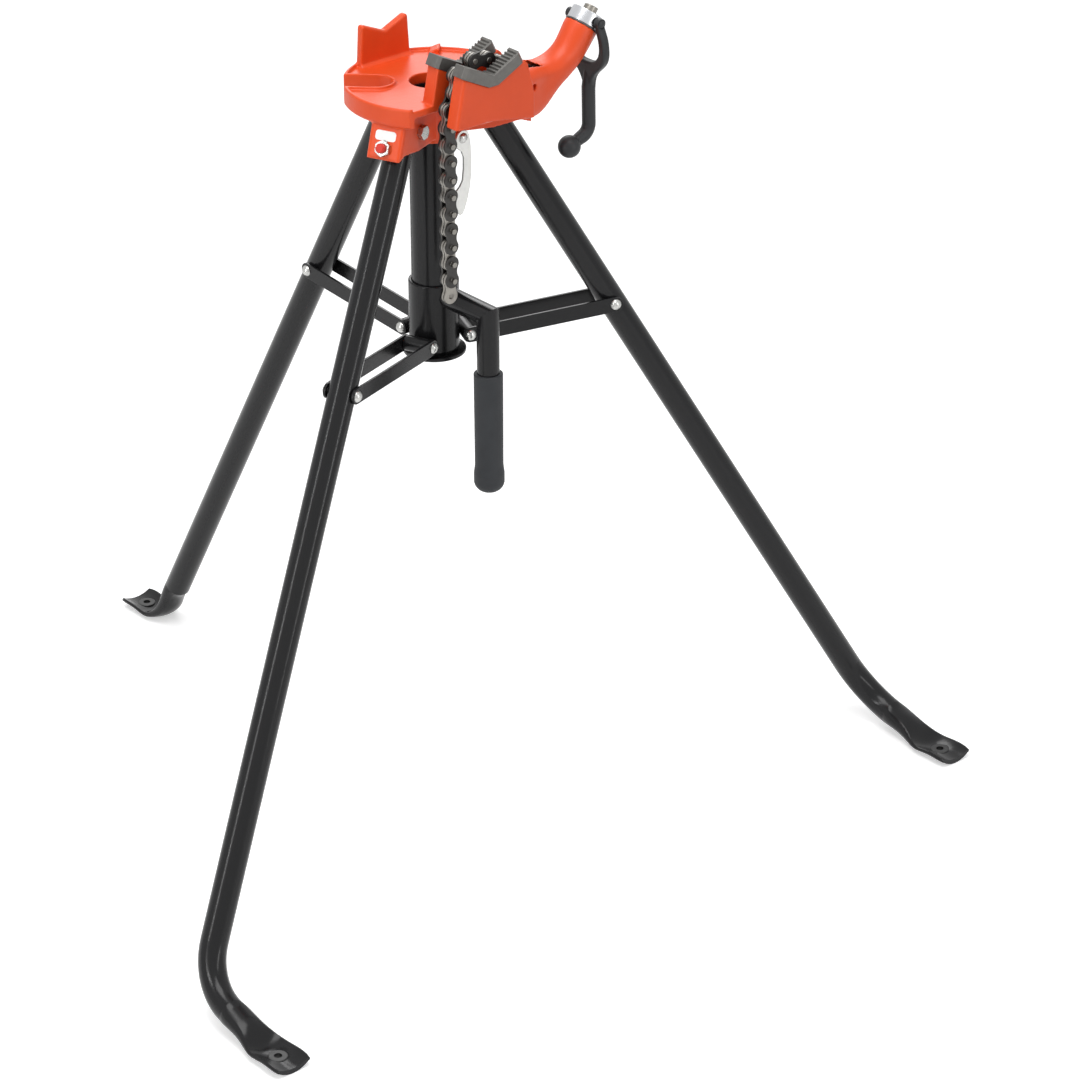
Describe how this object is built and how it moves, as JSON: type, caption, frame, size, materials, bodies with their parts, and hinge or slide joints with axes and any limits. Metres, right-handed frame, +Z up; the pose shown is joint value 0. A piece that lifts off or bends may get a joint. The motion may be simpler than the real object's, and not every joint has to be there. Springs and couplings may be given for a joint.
{
  "type": "tripod pipe vise stand",
  "caption": "Folding tripod stand with a cast tray head, toothed V jaws and a plate chain vise drawn tight by a ring nut and crank handle.",
  "frame": {"origin": "centre of the bounding box on the floor, under the three feet", "axes": "+Z up along the post, +X along the pipe axis from the rear leg towards the jaws, +Y towards the tightening arm"},
  "size_m": [0.948, 1.0124, 0.9322],
  "materials": {
    "orange_casting": "satin powder coat over cast iron",
    "black_tube": "gloss paint",
    "black_fitting": "gloss paint",
    "jaw_steel": "hardened, dull grey",
    "zinc": "zinc plate",
    "nut_zinc": "bright zinc plate",
    "stop_red": "satin paint",
    "chain_black": "blackened steel",
    "chain_steel": "oiled bare steel",
    "screw_steel": "oiled steel",
    "washer_dark": "dark",
    "crank_paint": "matte charcoal",
    "grip_rubber": "matte",
    "latch_zinc": "pale zinc plate",
    "eyelet_steel": "zinc plate"
  },
  "bodies": {
    "stand": {"vise_base": "orange_casting", "near_jaw": "jaw_steel", "far_jaw": "jaw_steel", "center_post": "black_tube", "post_flange": "black_fitting", "leg_hinge_bolts": "zinc", "leg_hinge_nuts": "zinc", "stop_screws": "stop_red", "stop_lock_nuts": "zinc", "latch_bolt": "zinc", "thrust_washer": "washer_dark"},
    "collar": {"slide_collar": "black_fitting", "link_bosses": "black_fitting", "handle_arm": "black_tube", "handle_stem": "black_tube", "hand_grip": "grip_rubber"},
    "leg_left": {"leg_left": "black_tube", "eyelet_left": "eyelet_steel", "leg_pin_left": "zinc"},
    "leg_right": {"leg_right": "black_tube", "eyelet_right": "eyelet_steel", "leg_pin_right": "zinc"},
    "leg_rear": {"leg_rear": "black_tube", "eyelet_rear": "eyelet_steel", "leg_pin_rear": "zinc"},
    "link_left": {"link_bars_left": "black_fitting", "link_rivets_left": "zinc"},
    "link_right": {"link_bars_right": "black_fitting", "link_rivets_right": "zinc"},
    "link_rear": {"link_bars_rear": "black_fitting", "link_rivets_rear": "zinc"},
    "screw": {"tension_screw": "screw_steel", "chain_link_01": "chain_black", "chain_link_02": "chain_steel", "chain_link_03": "chain_black", "chain_link_04": "chain_steel", "chain_link_05": "chain_black", "chain_link_06": "chain_steel"},
    "nut": {"ring_nut": "nut_zinc", "crank_pins": "crank_paint"},
    "crank": {"crank_handle": "crank_paint"},
    "latch": {"latch_hook": "latch_zinc"},
    "chain_07": {"chain_link_07": "chain_black"},
    "chain_08": {"chain_link_08": "chain_steel"},
    "chain_09": {"chain_link_09": "chain_black"},
    "chain_10": {"chain_link_10": "chain_steel"},
    "chain_11": {"chain_link_11": "chain_black"},
    "chain_12": {"chain_link_12": "chain_steel"},
    "chain_13": {"chain_link_13": "chain_black"},
    "chain_14": {"chain_link_14": "chain_steel"},
    "chain_15": {"chain_link_15": "chain_black"},
    "chain_16": {"chain_link_16": "chain_steel"},
    "chain_17": {"chain_link_17": "chain_black"},
    "chain_18": {"chain_link_18": "chain_steel"},
    "chain_19": {"chain_link_19": "chain_black"},
    "chain_20": {"chain_link_20": "chain_steel"},
    "chain_21": {"chain_link_21": "chain_black"},
    "chain_22": {"chain_link_22": "chain_steel"}
  },
  "joints": [
    {"name": "collar_slide", "type": "slide", "parent": "stand", "child": "collar", "axis": [0, 0, 1], "range_m": [0, 0.1373]},
    {"name": "leg_left_fold", "type": "hinge", "parent": "stand", "child": "leg_left", "pos_m": [0.14649, -0.05498, 0.8283], "axis": [0.9256, 0.3785, 0], "range_deg": [0, 27.69]},
    {"name": "leg_right_fold", "type": "hinge", "parent": "stand", "child": "leg_right", "pos_m": [0.14649, 0.05498, 0.8283], "axis": [-0.9256, 0.3785, 0], "range_deg": [0, 27.69]},
    {"name": "leg_rear_fold", "type": "hinge", "parent": "stand", "child": "leg_rear", "pos_m": [0.06461, 0, 0.8283], "axis": [0, -1, 0], "range_deg": [0, 27.69]},
    {"name": "link_left_turn", "type": "hinge", "parent": "collar", "child": "link_left", "pos_m": [0.13752, -0.03304, 0.5699], "axis": [0.9256, 0.3785, 0], "range_deg": [0, 81.75]},
    {"name": "link_right_turn", "type": "hinge", "parent": "collar", "child": "link_right", "pos_m": [0.13752, 0.03304, 0.5699], "axis": [-0.9256, 0.3785, 0], "range_deg": [0, 81.75]},
    {"name": "link_rear_turn", "type": "hinge", "parent": "collar", "child": "link_rear", "pos_m": [0.08831, 0, 0.5699], "axis": [0, -1, 0], "range_deg": [0, 81.75]},
    {"name": "nut_turn", "type": "hinge", "parent": "stand", "child": "nut", "pos_m": [0.19811, 0.1522, 0.91542], "axis": [0, 0.6293, 0.7771], "range_deg": [-115, 50]},
    {"name": "screw_slide", "type": "slide", "parent": "stand", "child": "screw", "axis": [0, 0.6293, 0.7771], "range_m": [-0.00129, 0.00057]},
    {"name": "crank_swing", "type": "hinge", "parent": "nut", "child": "crank", "pos_m": [0.19811, 0.1522, 0.91542], "axis": [1, 0, 0], "range_deg": [-12, 135]},
    {"name": "latch_swing", "type": "hinge", "parent": "stand", "child": "latch", "pos_m": [0.16201, 0.0111, 0.8057], "axis": [1, 0, 0], "range_deg": [0, 18]},
    {"name": "chain_07_bend", "type": "hinge", "parent": "screw", "child": "chain_07", "pos_m": [0.19811, 0.01451, 0.90375], "axis": [1, 0, 0], "range_deg": [-12, 0]},
    {"name": "chain_08_bend", "type": "hinge", "parent": "chain_07", "child": "chain_08", "pos_m": [0.19811, -0.00431, 0.90675], "axis": [1, 0, 0], "range_deg": [-12, 0]},
    {"name": "chain_09_bend", "type": "hinge", "parent": "chain_08", "child": "chain_09", "pos_m": [0.19811, -0.0082, 0.8881], "axis": [1, 0, 0], "range_deg": [-10, 0]},
    {"name": "chain_10_bend", "type": "hinge", "parent": "chain_09", "child": "chain_10", "pos_m": [0.19811, -0.02596, 0.89499], "axis": [1, 0, 0], "range_deg": [-12, 0]},
    {"name": "chain_11_bend", "type": "hinge", "parent": "chain_10", "child": "chain_11", "pos_m": [0.19811, -0.0279, 0.87603], "axis": [1, 0, 0], "range_deg": [-12, 0]},
    {"name": "chain_12_bend", "type": "hinge", "parent": "chain_11", "child": "chain_12", "pos_m": [0.19811, -0.03692, 0.85926], "axis": [1, 0, 0], "range_deg": [-10, 0]},
    {"name": "chain_13_bend", "type": "hinge", "parent": "chain_12", "child": "chain_13", "pos_m": [0.19811, -0.0383, 0.84026], "axis": [1, 0, 0], "range_deg": [-10, 0]},
    {"name": "chain_14_bend", "type": "hinge", "parent": "chain_13", "child": "chain_14", "pos_m": [0.19811, -0.0383, 0.82121], "axis": [1, 0, 0], "range_deg": [-10, 0]},
    {"name": "chain_15_bend", "type": "hinge", "parent": "chain_14", "child": "chain_15", "pos_m": [0.19811, -0.0383, 0.80216], "axis": [1, 0, 0], "range_deg": [-10, 0]},
    {"name": "chain_16_bend", "type": "hinge", "parent": "chain_15", "child": "chain_16", "pos_m": [0.19811, -0.0383, 0.78311], "axis": [1, 0, 0], "range_deg": [-10, 0]},
    {"name": "chain_17_bend", "type": "hinge", "parent": "chain_16", "child": "chain_17", "pos_m": [0.19811, -0.0383, 0.76406], "axis": [1, 0, 0], "range_deg": [-10, 0]},
    {"name": "chain_18_bend", "type": "hinge", "parent": "chain_17", "child": "chain_18", "pos_m": [0.19811, -0.0383, 0.74501], "axis": [1, 0, 0], "range_deg": [-10, 0]},
    {"name": "chain_19_bend", "type": "hinge", "parent": "chain_18", "child": "chain_19", "pos_m": [0.19811, -0.0383, 0.72596], "axis": [1, 0, 0], "range_deg": [-10, 0]},
    {"name": "chain_20_bend", "type": "hinge", "parent": "chain_19", "child": "chain_20", "pos_m": [0.19811, -0.0383, 0.70691], "axis": [1, 0, 0], "range_deg": [-10, 0]},
    {"name": "chain_21_bend", "type": "hinge", "parent": "chain_20", "child": "chain_21", "pos_m": [0.19811, -0.0383, 0.68786], "axis": [1, 0, 0], "range_deg": [-10, 0]},
    {"name": "chain_22_bend", "type": "hinge", "parent": "chain_21", "child": "chain_22", "pos_m": [0.19811, -0.0383, 0.66881], "axis": [1, 0, 0], "range_deg": [-10, 0]}
  ],
  "couplings": [
    {"joint": "leg_left_fold", "follows": "collar_slide", "rad_per_m": 3.5173},
    {"joint": "leg_right_fold", "follows": "collar_slide", "rad_per_m": 3.5173},
    {"joint": "leg_rear_fold", "follows": "collar_slide", "rad_per_m": 3.5173},
    {"joint": "link_left_turn", "follows": "collar_slide", "rad_per_m": 10.389},
    {"joint": "link_right_turn", "follows": "collar_slide", "rad_per_m": 10.389},
    {"joint": "link_rear_turn", "follows": "collar_slide", "rad_per_m": 10.389},
    {"joint": "latch_swing", "follows": "collar_slide", "rad_per_m": 2.2858},
    {"joint": "screw_slide", "follows": "nut_turn", "m_per_rad": 0.00063662}
  ]
}
